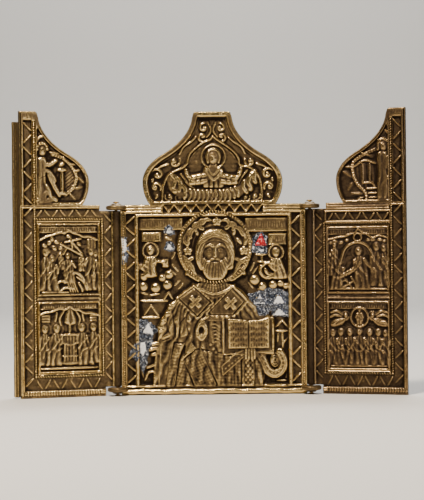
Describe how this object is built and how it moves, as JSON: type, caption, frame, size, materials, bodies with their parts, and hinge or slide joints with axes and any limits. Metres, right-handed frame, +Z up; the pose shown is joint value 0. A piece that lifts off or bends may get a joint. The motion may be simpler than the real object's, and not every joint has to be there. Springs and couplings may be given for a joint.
{
  "type": "folding triptych icon",
  "caption": "Cast brass folding triptych with a crowned centre leaf in relief and hinged half-crowned wings that close over it.",
  "frame": {"origin": "middle of the footprint's bounding box, on the surface that the triptych stands on, with the wings in their standing position", "axes": "+Z up; the faces look along -Y; +X runs to the viewer's right along the row of leaves, which is its longest extent; Y is its shortest extent"},
  "size_m": [0.1938, 0.0174, 0.1406],
  "materials": {
    "cast_brass": "cast, dark in the hollows and rubbed bright on the high places",
    "brass_wire": "drawn wire with flattened heads"
  },
  "bodies": {
    "centre": {"centre_leaf": "cast_brass", "left_hinge_pin": "brass_wire", "right_hinge_pin": "brass_wire"},
    "left_wing": {"left_wing": "cast_brass"},
    "right_wing": {"right_wing": "cast_brass"}
  },
  "joints": [
    {"name": "left_wing_hinge", "type": "hinge", "parent": "centre", "child": "left_wing", "pos_m": [-0.0463, 0.00348, 0.0473], "axis": [0, 0, 1], "range_deg": [-15, 165]},
    {"name": "right_wing_hinge", "type": "hinge", "parent": "centre", "child": "right_wing", "pos_m": [0.0497, 0.00348, 0.0473], "axis": [0, 0, -1], "range_deg": [-15, 165]}
  ]
}
